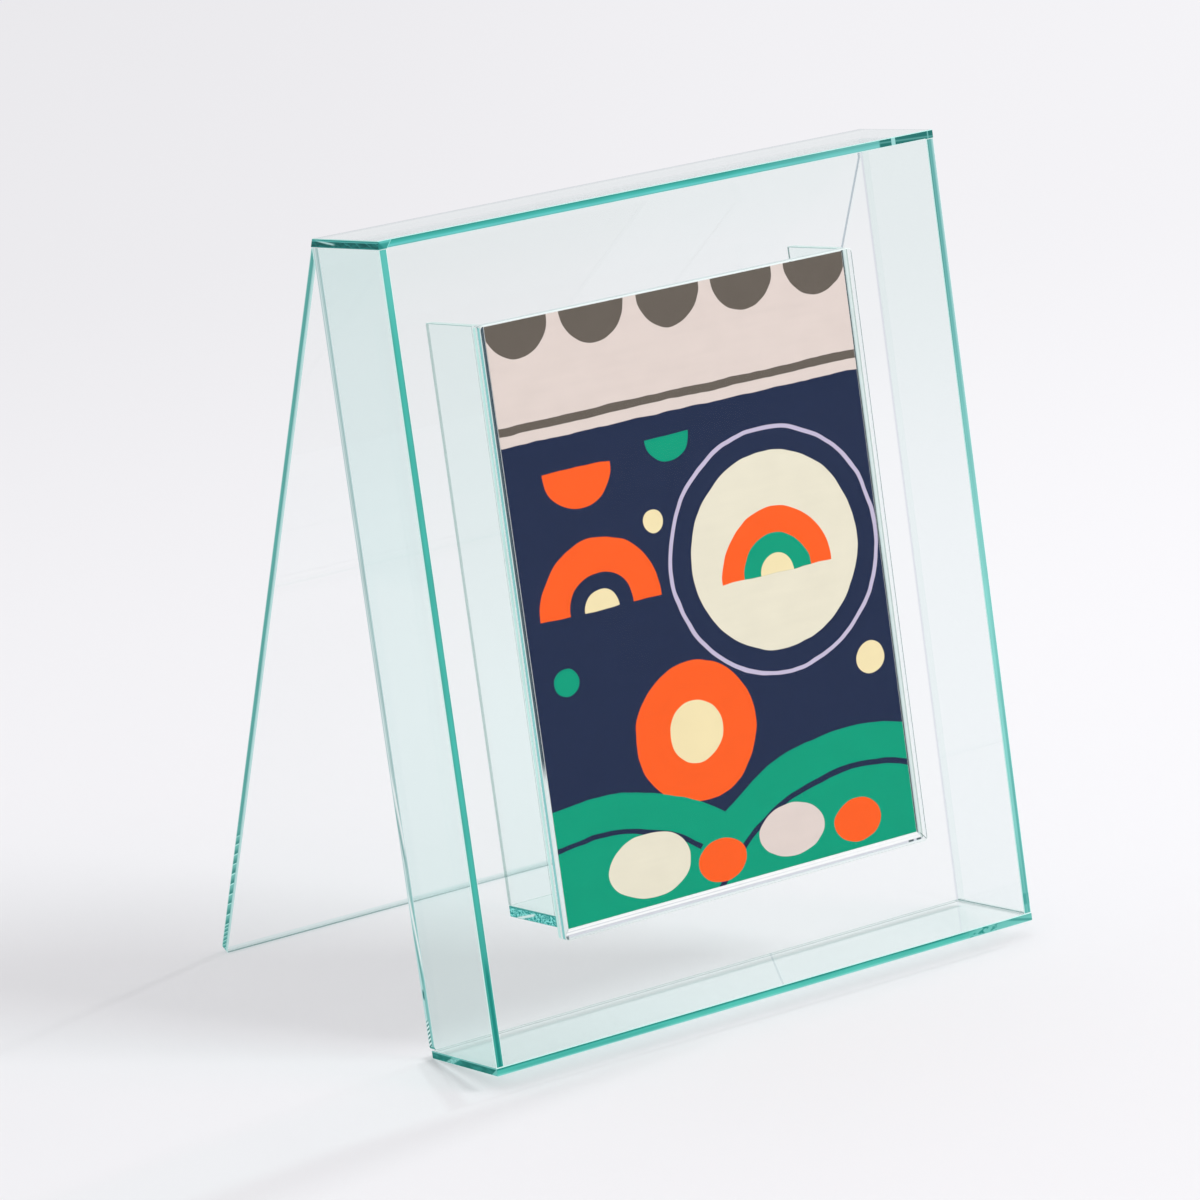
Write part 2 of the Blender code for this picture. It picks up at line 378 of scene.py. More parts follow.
def left_front(g):
    colour = polished_edge(
        g, g.x, g.z, SHEET,
        (0.0, "#5AA399"), (0.12, "#55A59B"), (0.2, "#43A99C"), (0.5, "#46B6A9"),
        (0.8, "#49AFA3"), (0.88, "#569F96"), (1.0, "#5FA199"),
    )
    # Painted reflection and shade: paler near the top, darker low down, with a deep stripe low down
    colour = g.blend(g.times(g.ramp(g.z, 246, 280), 0.7), colour, "#65C4BC")
    colour = g.blend(g.times(g.ramp(g.z, 66, 36), 0.6), colour, "#379C92")
    low = g.times(g.ramp(g.z, 44, 34), g.line(g.x, 1.6, 1.2, 0.1))
    return g.blend(low, colour, "#1F877D")


def right_front(g):
    across = g.minus(g.x, WIDTH - SHEET)
    colour = polished_edge(
        g, across, g.z, SHEET,
        (0.0, "#7FC6BE"), (0.2, "#88D2CB"), (0.6, "#82CDC6"), (1.0, "#7FC6C0"),
    )
    # Painted reflections: greyer bands towards the top, darker teal low down
    upper = g.bands(
        across, 0, SHEET, (0.0, "#4F8F8A"), (0.15, "#4F928D"), (0.3, "#6BB0AC"), (0.5, "#5FA5A1"),
        (0.65, "#7DBAB7"), (0.8, "#A3CDCC"), (1.0, "#A8C4C4"),
    )
    colour = g.blend(g.ramp(g.z, 120, 262), colour, upper)
    low = g.times(g.ramp(g.z, 40, 12), g.ramp(across, 1.9, 0.9))
    colour = g.blend(g.times(low, 0.8), colour, "#56ADA5")
    colour = g.blend(g.line(g.z, 8.5, 4.0, 0.5), colour, "#4AA39B")
    stripe = g.times(g.line(across, 2.0, 0.9, 0.2), g.ramp(g.z, 140, 20))
    return g.blend(stripe, colour, "#5FAFA8")


def back_end(g):
    """Pale above and teal below, with two painted glints, each with a painted shade line beside it,
    a dark mark and a ladder at the foot.
    """
    thickness = DEPTH - BACK_FRONT
    across = g.minus(DEPTH, g.y)
    colour = polished_edge(
        g, across, g.z, thickness,
        (0.0, "#C3D2D3"), (0.14, "#BCD0D0"), (0.32, "#E2F4F4"), (0.48, "#B4D2D2"), (0.6, "#C4E0DE"),
        (0.76, "#94B8B8"), (0.88, "#D8F0F0"), (1.0, "#DDF0F0"),
    )
    teal = g.bands(
        across, 0, thickness,
        (0.0, "#A6D8D7"), (0.25, "#C3F2F1"), (0.45, "#86C6C1"), (0.7, "#74C6C0"), (1.0, "#9ADAD6"),
    )
    colour = g.blend(g.times(g.ramp(g.z, 78, 40), 0.85), colour, teal)
    slope = 0.09
    slanted = g.plus(across, g.times(g.z, slope))
    for height in (88, 46):
        glint = g.line(slanted, 2.2 + height * slope, 1.1, 0.4)
        glint = g.times(glint, g.between(g.z, height - 14, height + 12, 5))
        colour = g.blend(glint, colour, "#F6FFFF")
        shade = g.line(slanted, 0.6 + height * slope, 0.9, 0.4)
        shade = g.times(shade, g.between(g.z, height - 18, height + 4, 5))
        colour = g.blend(g.times(shade, 0.7), colour, "#4F9C98")
    # A dark mark low on the edge
    dark_mark = g.times(g.line(g.z, 23, 3.2, 0.8), g.line(across, 1.4, 1.0, 0.3))
    colour = g.blend(dark_mark, colour, "#1F7675")
    pitch = 1.5
    rung = g.times(g.minus(g.z, g.times(across, 0.68)), 1 / pitch)
    bars = g.ramp(g.math("PINGPONG", rung, 0.5), 0.2, 0.3)
    ladder = g.blend(bars, "#E4FFFD", "#4D8A87")
    low = g.times(g.ramp(g.z, 15, 12), g.ramp(across, 2.3, 1.9))
    colour = g.blend(low, colour, ladder)
    return outlined(g, colour, across, thickness, 0.7, "#CDEBEA")


def leg_along(g):
    """How far down the leg a point is."""
    back = g.times(g.minus(g.y, LEG_TOP[0]), math.sin(SPLAY))
    down = g.times(g.minus(LEG_TOP[1], g.z), math.cos(SPLAY))
    return g.plus(back, down)


def leg_depth(g):
    """How deep in the leg a point is, from its front face."""
    back = g.times(g.minus(g.y, LEG_TOP[0]), math.cos(SPLAY))
    down = g.times(g.minus(g.z, LEG_TOP[1]), math.sin(SPLAY))
    return g.plus(back, down)


def leg_end(g):
    """Teal with a pale front, and zebra marks low down that turn closer at the foot, each mark with
    a painted glint; its arrises have painted highlights.
    """
    across = g.minus(LEG_THICKNESS, leg_depth(g))
    along = leg_along(g)
    colour = polished_edge(
        g, across, along, LEG_THICKNESS,
        (0.0, "#5B9E98"), (0.15, "#66B5AF"), (0.4, "#5CB2AA"), (0.62, "#62ADA8"),
        (0.7, "#A5DCD9"), (1.0, "#B9E2E0"),
    )
    wide_pitch = 4.6
    close_pitch = 1.9
    reach = g.plus(along, g.times(across, 1.1))
    wander = g.times(g.noise(g.times(reach, 0.12), 4.4), 0.7)
    wide = g.math("FRACT", g.plus(g.times(reach, 1 / wide_pitch), wander))
    close = g.math("FRACT", g.plus(g.times(reach, 1 / close_pitch), wander))
    foot = g.ramp(reach, 285.5, 286.5)
    part = g.plus(g.times(g.flip(foot), wide), g.times(foot, close))
    striped = g.blend(g.ramp(part, 0.25, 0.95), "#74C6BD", "#3C958D")
    glint = g.times(g.ramp(part, 0.2, 0.12), g.ramp(part, 0.0, 0.04))
    striped = g.blend(glint, striped, "#B4F3EC")
    low = g.times(g.ramp(reach, 238, 250), g.ramp(across, 2.9, 2.6))
    colour = g.blend(low, colour, striped)
    return outlined(g, colour, across, LEG_THICKNESS, 0.75, "#D0F5F1")


def leg_foot(g):
    along = g.noise(g.times(g.x, 0.04), 3.3)
    return g.blend(g.ramp(along, -0.1, 0.1), "#7FB9B4", "#A6D2CE")


def ledge_end(g):
    """Broken into deep and light places, with a pale slash and a dark upper line."""
    along = g.minus(BACK_FRONT, g.y)
    across = g.minus(LEDGE_TOP, g.z)
    mottle = g.noise(g.times(along, 0.8), g.times(across, 1.4), 6.0, detail=3.0)
    colour = g.blend(g.ramp(mottle, -0.07, 0.07), "#139793", "#8DEBE5")
    slash = g.line(g.plus(g.times(along, 0.22), across), 5.1, 0.9, 0.25)
    slash = g.times(slash, g.between(along, 5, 17, 1.0))
    colour = g.blend(slash, colour, "#E4FAF8")
    return g.blend(g.line(across, 0.25, 0.4), colour, "#1B7F80")


def fin_top(g):
    return uneven(g, "#C0D8D5", 0.3, g.times(g.y, 0.3), 1.0)


def carrier_top(g):
    return g.bands(
        g.y, CARRIER_FRONT, CARRIER_REAR,
        (0.0, "#F4FAFA"), (0.5, "#E3EEEE"), (0.75, "#8FA3A6"), (1.0, "#A5B6B8"),
    )


def carrier_arris(g):
    """The grey line along the top of the holder's rear sheet."""
    return uneven(g, "#B4C1C3", 0.3, g.times(g.x, 0.08), 3.0)


def cover_top(g):
    return uneven(g, "#E4F0EF", 0.2, g.times(g.x, 0.1), 1.0)


def pale_arris(g):
    """The top plate's lower arris: a pale painted highlight, but teal where a wall meets it."""
    pale = uneven(g, "#E6FFFD", 0.3, g.times(g.x, 0.05), 2.0)
    past = SHEET + 0.3
    return g.blend(g.between(g.x, past, WIDTH - past), "#43AAA0", pale)


# The top plate's lower end arris: a pale painted highlight
def pale_end_arris(g):
    return uneven(g, "#CDF0EC", 0.3, g.times(g.y, 0.2), 2.0)


def joint_arris(g):
    """The arris where a sheet stands on its neighbour, as teal as the edges there."""
    return uneven(g, "#46A39B", 0.3, g.times(g.x, 0.2), g.times(g.y, 0.2), 1.0)


def carrier_end(g):
    """Nearly white between two grey lines, with a few specks."""
    across = g.minus(CARRIER_REAR, g.y)
    colour = polished_edge(
        g, across, g.z, CARRIER_REAR - CARRIER_FRONT,
        (0.0, "#6E9B96"), (0.14, "#CDF6F0"), (0.5, "#D9FDF8"), (0.9, "#C6F2EC"), (1.0, "#6F9E99"),
    )
    specks = g.noise(g.times(g.z, 0.9), g.times(across, 1.2), 2.0, detail=0.0)
    return g.blend(g.times(g.ramp(specks, 0.26, 0.32), 0.6), colour, "#86AAA6")


def cover_end(g):
    across = g.minus(COVER_REAR, g.y)
    return polished_edge(
        g, across, g.z, COVER_REAR - COVER_FRONT,
        (0.0, "#4A8484"), (0.16, "#8ED2D1"), (0.5, "#9ADEDC"), (1.0, "#84CCCC"),
    )


def side_tint(g, upper, lower, level, soft):
    """A see-through tint that changes once along the sheet's height."""
    return g.blend(g.ramp(g.z, level + soft, level - soft), upper, lower)


def sheet_material(
    name, normal, tint, edges, bonded, body=(0.95, 0.985, 0.98, 1),
    gloss=1.0, arris="#66BDB4", blocks=0.2,
):
    """Clear sheet: see-through faces, edges that look solid from outside and clear
    from inside, and nothing where an edge is bonded to its neighbour. An edge glows
    a little, a painted glow for the light it gathers, and blocks only a part of what falls on it.

    normal is the direction of the two faces and tint the painter of their colour.
    edges pairs directions with painters, and any other direction is an arris in the arris
    colour, which is a painted glint where it is pale. body is the tint of a bonded edge,
    and of any edge met from inside."""
    g = Graph(name)
    is_face = g.math("GREATER_THAN", g.math("ABSOLUTE", g.towards(normal)), SQUARELY)
    clear = g.add("BsdfTransparent", tint(g))
    smudge = g.noise(g.times(g.x, 0.05), g.times(g.y, 0.05), g.times(g.z, 0.05), detail=4.0)
    roughness = g.ramp(smudge, 0.0, 0.25, 0.0, 0.02)
    shine = g.add("BsdfGlossy", "#FFFFFF", Roughness=roughness)
    strength = g.ramp(g.rays("Shadow"), 0.0, 1.0, gloss, gloss * 0.2)
    fresnel = g.add("Fresnel", IOR=ACRYLIC_IOR).outputs[0]
    mirror = g.times(g.times(fresnel, g.ahead), strength)
    face = g.add("MixShader", mirror, clear, shine)

    colour = g.add("RGB")
    colour.outputs[0].default_value = linear(arris)
    colour = colour.outputs[0]
    for direction, paint in edges:
        colour = g.blend(g.faces(direction), colour, paint(g))
    grain = g.noise(g.times(g.x, 1.5), g.times(g.y, 1.5), g.times(g.z, 1.5))
    # The edges' painted colour, a share of it given off as a painted glow
    solid = g.add(
        "BsdfPrincipled", Base_Color=g.shade(colour, 1 - EDGE_GLOW),
        Roughness=g.plus(g.times(grain, 0.1), 0.16), Specular_IOR_Level=0.05,
        Emission_Color=colour, Emission_Strength=EDGE_GLOW,
    )
    shown = g.times(g.ahead, g.ramp(g.rays("Shadow", "Diffuse"), 0.0, 1.0, 1.0, blocks))
    for direction in bonded:
        shown = g.times(shown, g.flip(g.faces(direction)))
    rim = g.add("MixShader", shown, g.add("BsdfTransparent", body), solid)
    return g.finish(g.add("MixShader", is_face, rim, face))


def top_tint(g):
    """Bluer towards the front at a low angle, with a soft dark line along the rear."""
    upper = g.times(g.ahead, g.ramp(g.z, 286, 287))
    rear = g.times(g.ramp(g.y, 35, 44), upper)
    right = g.times(g.line(g.x, WIDTH - 0.9, 0.7, 0.25), upper)
    low = g.ramp(g.add("LayerWeight", Blend=0.5).outputs["Facing"], 0.3, 0.75)
    front = g.blend(low, (0.94, 0.96, 0.97, 1), (0.885, 0.905, 0.92, 1))
    tint = g.blend(g.ramp(g.y, 42, 30), (0.965, 0.97, 0.976, 1), front)
    tint = g.blend(rear, tint, (0.66, 0.71, 0.74, 1))
    return g.blend(right, tint, (0.6, 0.64, 0.68, 1))


def bottom_tint(g):
    """Deeper at the left, a painted shade, with seams along the rear and right. Its front and left
    borders let little scattered light through."""
    upper = g.times(g.ramp(g.z, 1, 2), g.ahead)
    rear = g.times(g.line(g.y, BASE_DEPTH - 0.8, 0.9), 0.5)
    rear = g.either(g.times(g.line(g.y, BACK_FRONT - 0.4, 1.0), 0.75), rear)
    side = g.times(g.line(g.x, WIDTH - SHEET - 0.2, 0.8), 0.9)
    seam = g.either(rear, side)
    # Painted shade: the tint deepens towards the left end
    near_end = g.ramp(g.x, 90, 0)
    tint = g.blend(g.ramp(g.x, 60, 140), (0.937, 0.98, 0.975, 1), (0.958, 0.99, 0.986, 1))
    tint = g.blend(near_end, tint, (0.9, 0.952, 0.944, 1))
    border = g.either(g.ramp(g.y, 5, 3), g.ramp(g.x, 5, 3))
    tint = g.blend(g.times(border, g.rays("Diffuse")), tint, (0.3, 0.38, 0.37, 1))
    return g.blend(g.times(seam, upper), tint, SEAM)


def left_tint(g):
    return side_tint(g, LEFT_CLEAR, (0.93, 0.982, 0.974, 1), 170, 5)


def right_tint(g):
    """Clearer low down, with a dark seam along its foot."""
    tint = side_tint(g, (0.935, 0.972, 0.964, 1), (0.958, 0.982, 0.98, 1), 190, 60)
    foot = g.times(g.line(g.z, SHEET + 0.4, 0.7), g.ramp(g.x, 226, 225.5))
    return g.blend(foot, tint, SEAM)


def back_tint(g):
    """Nearly clear, with a seam where the right wall stands before it."""
    tint = side_tint(g, (0.962, 0.982, 0.977, 1), (0.98, 0.989, 0.987, 1), 262, 18)
    front = g.ramp(g.y, 43.5, 42.5)
    seam = g.line(g.x, WIDTH - SHEET - 0.2, 0.8, 0.3)
    return g.blend(g.times(seam, front), tint, (0.80, 0.82, 0.86, 1))


def leg_tint(g):
    """Almost clear, with a line down the right side and a mint band along the foot."""
    front = g.ramp(leg_depth(g), 2, 1)
    along = leg_along(g)
    side = g.line(g.x, WIDTH - 1.5, 0.9, 0.2)
    tint = g.blend(side, LEG_CLEAR, (0.52, 0.59, 0.64, 1))
    band = g.ramp(along, LEG_LENGTH - 2.9, LEG_LENGTH - 2.6)
    tint = g.blend(band, tint, (0.905, 0.99, 0.98, 1))
    tint = g.blend(g.line(along, LEG_LENGTH - 2.8, 0.3), tint, (0.86, 0.95, 0.95, 1))
    dark = g.blend(g.ramp(g.x, 30, 130), (0.4, 0.54, 0.53, 1), (0.68, 0.78, 0.78, 1))
    tint = g.blend(g.line(along, LEG_LENGTH - 0.5, 0.6), tint, dark)
    return g.blend(front, LEG_CLEAR, tint)


def left_fin_tint(g):
    """Clear, with soft dark lines where it meets the back panel and the holder."""
    tint = side_tint(g, FIN_CLEAR, (0.95, 0.996, 0.989, 1), 140, 40)
    rear = g.line(g.y, BACK_FRONT - 1.2, 1.9, 0.3)
    front = g.line(g.y, CARRIER_REAR + 0.4, 0.5)
    tint = g.blend(g.times(rear, g.ahead), tint, (0.56, 0.68, 0.66, 1))
    return g.blend(g.times(front, g.ahead), tint, (0.62, 0.74, 0.72, 1))


def right_fin_tint(g):
    rear = g.times(g.line(g.y, BACK_FRONT - 0.6, 1.0, 0.2), g.ahead)
    return g.blend(rear, (0.955, 0.985, 0.98, 1), (0.26, 0.37, 0.36, 1))


def ledge_tint(g):
    rear = g.times(g.line(g.y, BACK_FRONT - 0.5, 0.8), g.ahead)
    return g.blend(rear, (0.95, 0.988, 0.982, 1), (0.66, 0.78, 0.76, 1))


def carrier_tint(g):
    """Clear, with a faint line all round where the arris bends the light."""
    width = 0.45
    inner = g.times(
        g.between(g.x, HOLDER_LEFT + width, HOLDER_RIGHT - width, 0.15),
        g.between(g.z, HOLDER_FOOT + width, HOLDER_TOP - width, 0.15),
    )
    return g.blend(g.times(g.flip(inner), g.ahead), HOLDER_CLEAR, (0.86, 0.9, 0.91, 1))


def cover_tint(g):
    """Clear, with a thin dark line at the right and a small dark lower left corner."""
    front = g.ramp(g.y, COVER_FRONT + 0.6, COVER_FRONT + 0.4)
    right = g.times(g.line(g.x, HOLDER_RIGHT - 0.35, 0.4), 0.9)
    mitre = g.plus(g.minus(HOLDER_RIGHT, g.x), g.times(g.minus(g.z, HOLDER_FOOT), -0.9))
    mitre = g.times(g.line(mitre, 0.0, 0.35), g.between(g.z, HOLDER_FOOT + 0.6, PRINT_FOOT))
    corner = g.ramp(g.x, HOLDER_LEFT + 1.5, HOLDER_LEFT + 1.2)
    corner = g.times(corner, g.line(g.z, HOLDER_FOOT + 0.9, 1.5, 0.2))
    lines = g.either(g.either(right, mitre), corner)
    return g.blend(g.times(lines, front), HOLDER_CLEAR, (0.3, 0.36, 0.37, 1))


def dress(node, material):
    """A CAD node given its material; its mesh stays as it is."""
    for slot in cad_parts[node].material_slots:
        slot.material = material


def make_sheets():
    dress("top_plate", sheet_material(
        "top_plate_sheet", UP, top_tint,
        [(FRONT, top_front), (LEFT, top_end), (RIGHT, top_end), (REAR, top_rear),
         (UNDER_FRONT, pale_arris), (UNDER_LEFT, pale_end_arris)],
        [], gloss=0.75, arris="#BDEFEA", blocks=0.7,
    ))
    dress("bottom_plate", sheet_material(
        "bottom_plate_sheet", UP, bottom_tint,
        [(FRONT, bottom_front), (LEFT, bottom_end), (RIGHT, bottom_end), (REAR, bottom_rear)],
        [], arris="#C4F3EE", blocks=1.0,
    ))
    dress("left_wall", sheet_material(
        "left_wall_sheet", LEFT, left_tint,
        [(FRONT, left_front), (UNDER_FRONT, joint_arris), (OVER_FRONT, joint_arris)],
        [UP, DOWN, REAR], body=LEFT_CLEAR, arris="#DDFFFB",
    ))
    dress("right_wall", sheet_material(
        "right_wall_sheet", LEFT, right_tint,
        [(FRONT, right_front), (UNDER_FRONT, joint_arris), (OVER_FRONT, joint_arris)],
        [UP, DOWN, REAR], body=(0.945, 0.977, 0.972, 1), arris="#D2FBF7",
    ))
    dress("back_panel", sheet_material(
        "back_panel_sheet", FRONT, back_tint,
        [(LEFT, back_end), (RIGHT, back_end), (UNDER_LEFT, joint_arris), (OVER_LEFT, joint_arris)],
        [UP, DOWN], body=(0.972, 0.986, 0.982, 1), gloss=0.6, arris="#D5E8E7",
    ))
    dress("stand_panel", sheet_material(
        "stand_panel_sheet", LEG_REAR, leg_tint,
        [(LEFT, leg_end), (RIGHT, leg_end), (LEG_FOOT, leg_foot)],
        [UP], body=LEG_CLEAR, arris="#C9F0ED", blocks=0.45,
    ))
    dress("left_fin", sheet_material(
        "left_fin_sheet", LEFT, left_fin_tint, [(UP, fin_top)], [FRONT, REAR, DOWN],
        body=FIN_CLEAR, arris="#BCD8D5",
    ))
    dress("right_fin", sheet_material(
        "right_fin_sheet", LEFT, right_fin_tint, [(UP, fin_top)], [FRONT, REAR, DOWN],
        body=(0.97, 0.99, 0.987, 1), arris="#BCD8D5",
    ))
    dress("holder_ledge", sheet_material(
        "holder_ledge_sheet", UP, ledge_tint,
        [(LEFT, ledge_end), (RIGHT, ledge_end)], [FRONT, REAR],
    ))
    dress("holder_back_sheet", sheet_material(
        "holder_back_sheet_clear", FRONT, carrier_tint,
        [(LEFT, carrier_end), (RIGHT, carrier_end), (UP, carrier_top), (OVER_FRONT, carrier_arris)],
        [], gloss=0.3, arris="#EAF7F6",
    ))
    dress("holder_front_sheet", sheet_material(
        "holder_front_sheet_clear", FRONT, cover_tint,
        [(LEFT, cover_end), (RIGHT, cover_end), (UP, cover_top)],
        [], gloss=0.06, arris="#E8F2F1",
    ))


def strip_material(name, colour, alpha):
    """The pocket's thin strips: bonding film between the holder's two sheets."""
    g = Graph(name)
    clouded = uneven(g, colour(g), 0.1, g.times(g.x, 0.3), g.times(g.z, 0.3), 1.0)
    film = g.add("BsdfPrincipled", Base_Color=clouded, Roughness=0.35)
    clear = g.add("BsdfTransparent", "#FFFFFF")
    return g.finish(g.add("MixShader", alpha, clear, film))


def left_strip(g):
    # Painted reflection of the print beside it: navy next to the print, pale teal at the outer
    # side, and pale low down
    colour = g.bands(
        g.x, HOLDER_LEFT, PRINT_LEFT,
        (0.0, "#80BAB9"), (0.25, "#639A9D"), (0.55, "#3B5C66"), (0.8, "#283E4C"), (1.0, "#222F48"),
    )
    return g.blend(g.ramp(g.z, 102, 92), colour, "#E6EFEF")


def right_strip(g):
    # Painted reflections: dark next to the print, then pale with grey lines
    return g.bands(
        g.x, PRINT_LEFT + PRINT_WIDTH, HOLDER_RIGHT,
        (0.0, "#16222B"), (0.14, "#2C3B42"), (0.22, "#BFD3D2"), (0.36, "#E3EFEE"),
        (0.62, "#E8F2F0"), (0.72, "#AFC2BD"), (0.84, "#D9E6E1"), (1.0, "#B4C6C0"),
    )


def bottom_strip(g):
    """White over pale grey, with thin rows between them and two dark ticks."""
    low = g.ramp(g.z, HOLDER_FOOT + 1.3, HOLDER_FOOT + 1.1)
    colour = g.blend(low, "#FFFFFF", "#DCDDE5")
    rows = g.either(
        g.line(g.z, HOLDER_FOOT + 1.25, 0.35), g.line(g.z, HOLDER_FOOT + 2.3, 0.3)
    )
    colour = g.blend(g.times(rows, g.ramp(g.x, 170, 80, 0.2, 0.7)), colour, "#C9CCD4")
    ticks = g.either(g.line(g.x, 185.2, 2.2, 0.2), g.line(g.x, 188.6, 2.0, 0.3))
    return g.blend(g.times(ticks, low), colour, "#4A5A5E")


def make_strips():
    dress("pocket_strip_left", strip_material("left_strip_film", left_strip, 0.85))
    dress("pocket_strip_right", strip_material("right_strip_film", right_strip, 0.8))
    dress("pocket_strip_bottom", strip_material("bottom_strip_film", bottom_strip, 0.9))


# The generic print: cut-paper arcs, hills and pebbles
NAVY = "#222D49"
ORANGE = "#FA5F24"
GREEN = "#0A9A78"
CREAM = "#E6DFCA"
YELLOW = "#F0DFB0"
BLUSH = "#DECFC8"
BROWN = "#665E56"
LILAC = "#C4BAD2"

# Half the soft width of a cut, and the reach and grain of the hand-cut wander
CUT = 0.12
WANDER = 2.2
WANDER_GRAIN = 0.06


class Print:
    """Shapes laid one over the other on the print, in millimetres from its lower left."""

    def __init__(self, g):
        self.g = g
        across = g.minus(g.x, PRINT_LEFT)
        up = g.minus(g.z, PRINT_FOOT)
        grain = (g.times(across, WANDER_GRAIN), g.times(up, WANDER_GRAIN))
        self.u = g.plus(across, g.times(g.noise(*grain, 3.0), WANDER))
        self.v = g.plus(up, g.times(g.noise(*grain, 9.0), WANDER))
        self.spot = g.add("CombineXYZ", self.u, self.v, 0.0)
        self.colour = NAVY

    def lay(self, mask, colour):
        self.colour = self.g.blend(mask, self.colour, colour)

    def disc(self, u, v, radius, stretch=1.0):
        g = self.g
        shift = g.add("VectorMath", self.spot, (u, v, 0), settings={"operation": "SUBTRACT"})
        shape = g.add("VectorMath", shift, (1, stretch, 0), settings={"operation": "MULTIPLY"})
        length = g.add("VectorMath", shape, settings={"operation": "LENGTH"}).outputs["Value"]
        return g.ramp(length, radius + CUT, radius - CUT)

    def above(self, level):
        return self.g.ramp(self.v, level - CUT, level + CUT)

    def block(self, u0, u1, v0, v1):
        g = self.g
        return g.times(g.between(self.u, u0, u1, CUT), g.between(self.v, v0, v1, CUT))

    def both(self, first, second):
        return self.g.times(first, second)

    def without(self, first, second):
        return self.g.times(first, self.g.flip(second))


def print_design(g):
    p = Print(g)

    # A blush band across the top, with a row of brown half rounds
    p.lay(p.above(168), BLUSH)
    for u in (12, 43, 74, 105, 136):
        p.lay(p.without(p.disc(u, 210, 13), p.above(211)), BROWN)
    p.lay(p.block(-3, 151, 172, 175), BROWN)

    # A wide cream moon inside a lilac ring, with a nested arch on it
    p.lay(p.without(p.disc(104, 112, 44), p.disc(104, 112, 42.5)), LILAC)
    p.lay(p.disc(104, 112, 35), CREAM)
    for radius, colour in ((23, ORANGE), (14, GREEN), (7, YELLOW)):
        p.lay(p.both(p.disc(104, 104, radius), p.above(104)), colour)

    # Orange arches and half rounds
    p.lay(p.both(p.without(p.disc(31, 106, 25), p.disc(31, 106, 13)), p.above(106)), ORANGE)
    p.lay(p.both(p.disc(31, 106, 7), p.above(106)), YELLOW)
    p.lay(p.without(p.disc(28, 156, 14), p.above(156)), ORANGE)
    p.lay(p.without(p.disc(66, 160, 9), p.above(160)), GREEN)
    p.lay(p.disc(62, 56, 25), ORANGE)
    p.lay(p.disc(62, 56, 11), YELLOW)

    # Green hills along the foot, with pebbles on them
    p.lay(p.disc(16, -34, 84, 1.1), GREEN)
    p.lay(p.without(p.disc(16, -34, 70, 1.1), p.disc(16, -34, 68, 1.1)), NAVY)
    p.lay(p.disc(124, -40, 88, 1.05), GREEN)
    p.lay(p.without(p.disc(124, -40, 74, 1.05), p.disc(124, -40, 71.8, 1.05)), NAVY)
    p.lay(p.disc(36, 14, 17, 1.5), CREAM)
    p.lay(p.disc(66, 9, 10, 1.3), ORANGE)
    p.lay(p.disc(96, 13, 14, 1.5), BLUSH)
    p.lay(p.disc(124, 10, 10, 1.3), ORANGE)
    p.lay(p.disc(13, 84, 5), GREEN)
    p.lay(p.disc(138, 66, 6), YELLOW)
    p.lay(p.disc(56, 132, 4), YELLOW)
    return p.colour


def print_material():
    """Matt print on card: flat paint with faint brush marks, and a plain white back."""
    g = Graph("print_design")
    brush = g.noise(g.times(g.x, 0.05), g.times(g.z, 0.4), 2.0, detail=4.0)
    mottle = g.noise(g.times(g.x, 0.09), g.times(g.z, 0.09), 6.0, detail=3.0)
    tone = g.plus(g.plus(g.times(brush, 0.07), g.times(mottle, 0.09)), 1.0)
    painted = g.shade(print_design(g), tone)
    fibre = g.noise(g.times(g.x, 2.5), g.times(g.z, 2.5), 4.0, detail=3.0)
    card = g.shade("#F3F1EC", g.plus(g.times(fibre, 0.06), 1.0))
    colour = g.blend(g.faces(FRONT), card, painted)
    bump = g.add("Bump", Strength=0.15, Distance=0.0001, Height=fibre)
    return g.finish(g.add(
        "BsdfPrincipled", Base_Color=colour, Roughness=0.6, Specular_IOR_Level=0.1, Normal=bump,
    ))


# Metres from the middle of the floor to its borders, and the camera's heading on it
FLOOR_REACH = 9.0
AWAY = (0.53, 0.85)
FLOOR_GLOW = 0.171


def make_floor():
    """A sheet of paper, its colour darkened slowly away from the frame: painted light falloff."""
    size = FLOOR_REACH
    mesh = bpy.data.meshes.new("floor")
    corners = [(-size, -size, 0), (size, -size, 0), (size, size, 0), (-size, size, 0)]
    mesh.from_pydata(corners, [], [(0, 1, 2, 3)])
    floor = bpy.data.objects.new("floor", mesh)
    bpy.context.scene.collection.objects.link(floor)
    g = Graph("paper_floor")
    along = g.plus(g.times(g.x, AWAY[0]), g.times(g.y, AWAY[1]))
    aside = g.minus(g.times(g.x, AWAY[1]), g.times(g.y, AWAY[0]))
    # Painted light falloff, in the paper's colour and in its glow: darker far off, to the left and
    # a little at the front
    near = g.ramp(along, 260, 80, 1.0, 0.985)
    far = g.ramp(along, 390, 1390, 1.0, 0.94)
    level = g.times(g.times(near, far), g.ramp(aside, 250, -150, 1.0, 0.975))
    matt = g.add("BsdfDiffuse", g.shade("#DAD9DC", level))
    glow = g.add("Emission", "#FBFAFD", g.times(g.seen(), g.times(level, FLOOR_GLOW)))
    mesh.materials.append(g.finish(g.add("AddShader", matt, glow)))


def bearing(azimuth, elevation):
    """The direction from the frame to a place around it, in degrees. Azimuth runs from
    the front to the right, and elevation from the floor up."""
    turn, tilt = math.radians(azimuth), math.radians(elevation)
    return Vector(
        (math.sin(turn) * math.cos(tilt), -math.cos(turn) * math.cos(tilt), math.sin(tilt))
    )


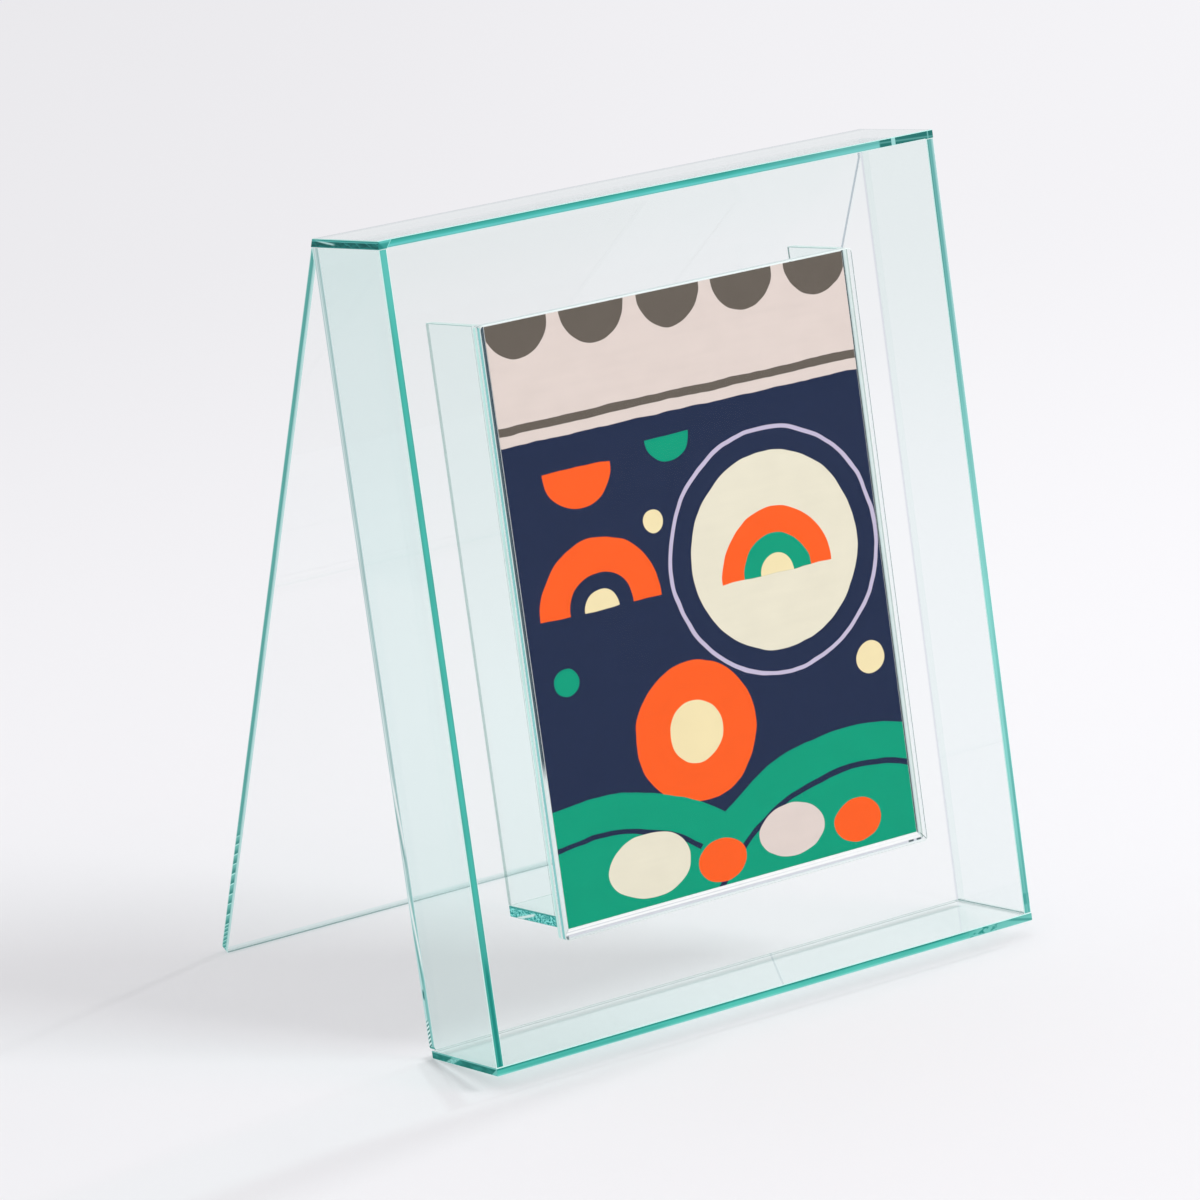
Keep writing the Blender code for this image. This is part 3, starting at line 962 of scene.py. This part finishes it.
CAMERA_PLACE = (-1.031164, -1.648261, 0.69617)
CAMERA_AZIMUTH = -32.028
CAMERA_ELEVATION = 16.223
CAMERA_ROLL = math.radians(3.871)
LENS = 169.729


def make_camera():
    """The photograph's view: long lens, from the left, a little above, slightly rolled."""
    ahead = -bearing(CAMERA_AZIMUTH, CAMERA_ELEVATION)
    right = ahead.cross(Vector((0, 0, 1))).normalized()
    right = Matrix.Rotation(CAMERA_ROLL, 3, ahead) @ right
    up = right.cross(ahead)
    data = bpy.data.cameras.new("camera")
    data.sensor_width = 36
    data.lens = LENS
    data.clip_end = 50
    camera = bpy.data.objects.new("camera", data)
    turn = Matrix((right, up, -ahead)).transposed().to_4x4()
    camera.matrix_world = Matrix.Translation(CAMERA_PLACE) @ turn
    bpy.context.scene.collection.objects.link(camera)
    bpy.context.scene.camera = camera


SKY_LIGHT = 0.705
SKY_SEEN = 0.88
LAMP_AIM = Vector((0, 0, 0.1))


def add_lamp(name, azimuth, elevation, distance, size, power):
    """A square soft box aimed at the frame, which the sheets don't mirror."""
    away = bearing(azimuth, elevation)
    data = bpy.data.lights.new(name, "AREA")
    data.shape = "SQUARE"
    data.size = size
    data.energy = power
    lamp = bpy.data.objects.new(name, data)
    lamp.visible_glossy = False
    lamp.location = away * distance + LAMP_AIM
    lamp.rotation_euler = away.to_track_quat("Z", "Y").to_euler()
    bpy.context.scene.collection.objects.link(lamp)


def make_light():
    """A plain white sky and two lamps from the right, which cast the soft shadows."""
    world = bpy.data.worlds.new("studio")
    world.use_nodes = True
    g = Tree(world.node_tree, "ShaderNodeOutputWorld")
    level = g.ramp(g.seen(), 0.0, 1.0, SKY_LIGHT, SKY_SEEN)
    g.finish(g.add("Background", "#FFFFFF", level))
    bpy.context.scene.world = world
    add_lamp("window", azimuth=41, elevation=36, distance=7.0, size=2.1, power=249)
    add_lamp("side", azimuth=100, elevation=21, distance=9.0, size=0.6, power=262)


make_sheets()
make_strips()
dress("print_insert", print_material())
make_floor()
make_camera()
make_light()
scene = bpy.context.scene
scene.view_settings.view_transform = "Standard"
scene.cycles.max_bounces = 24
scene.cycles.transparent_max_bounces = 64
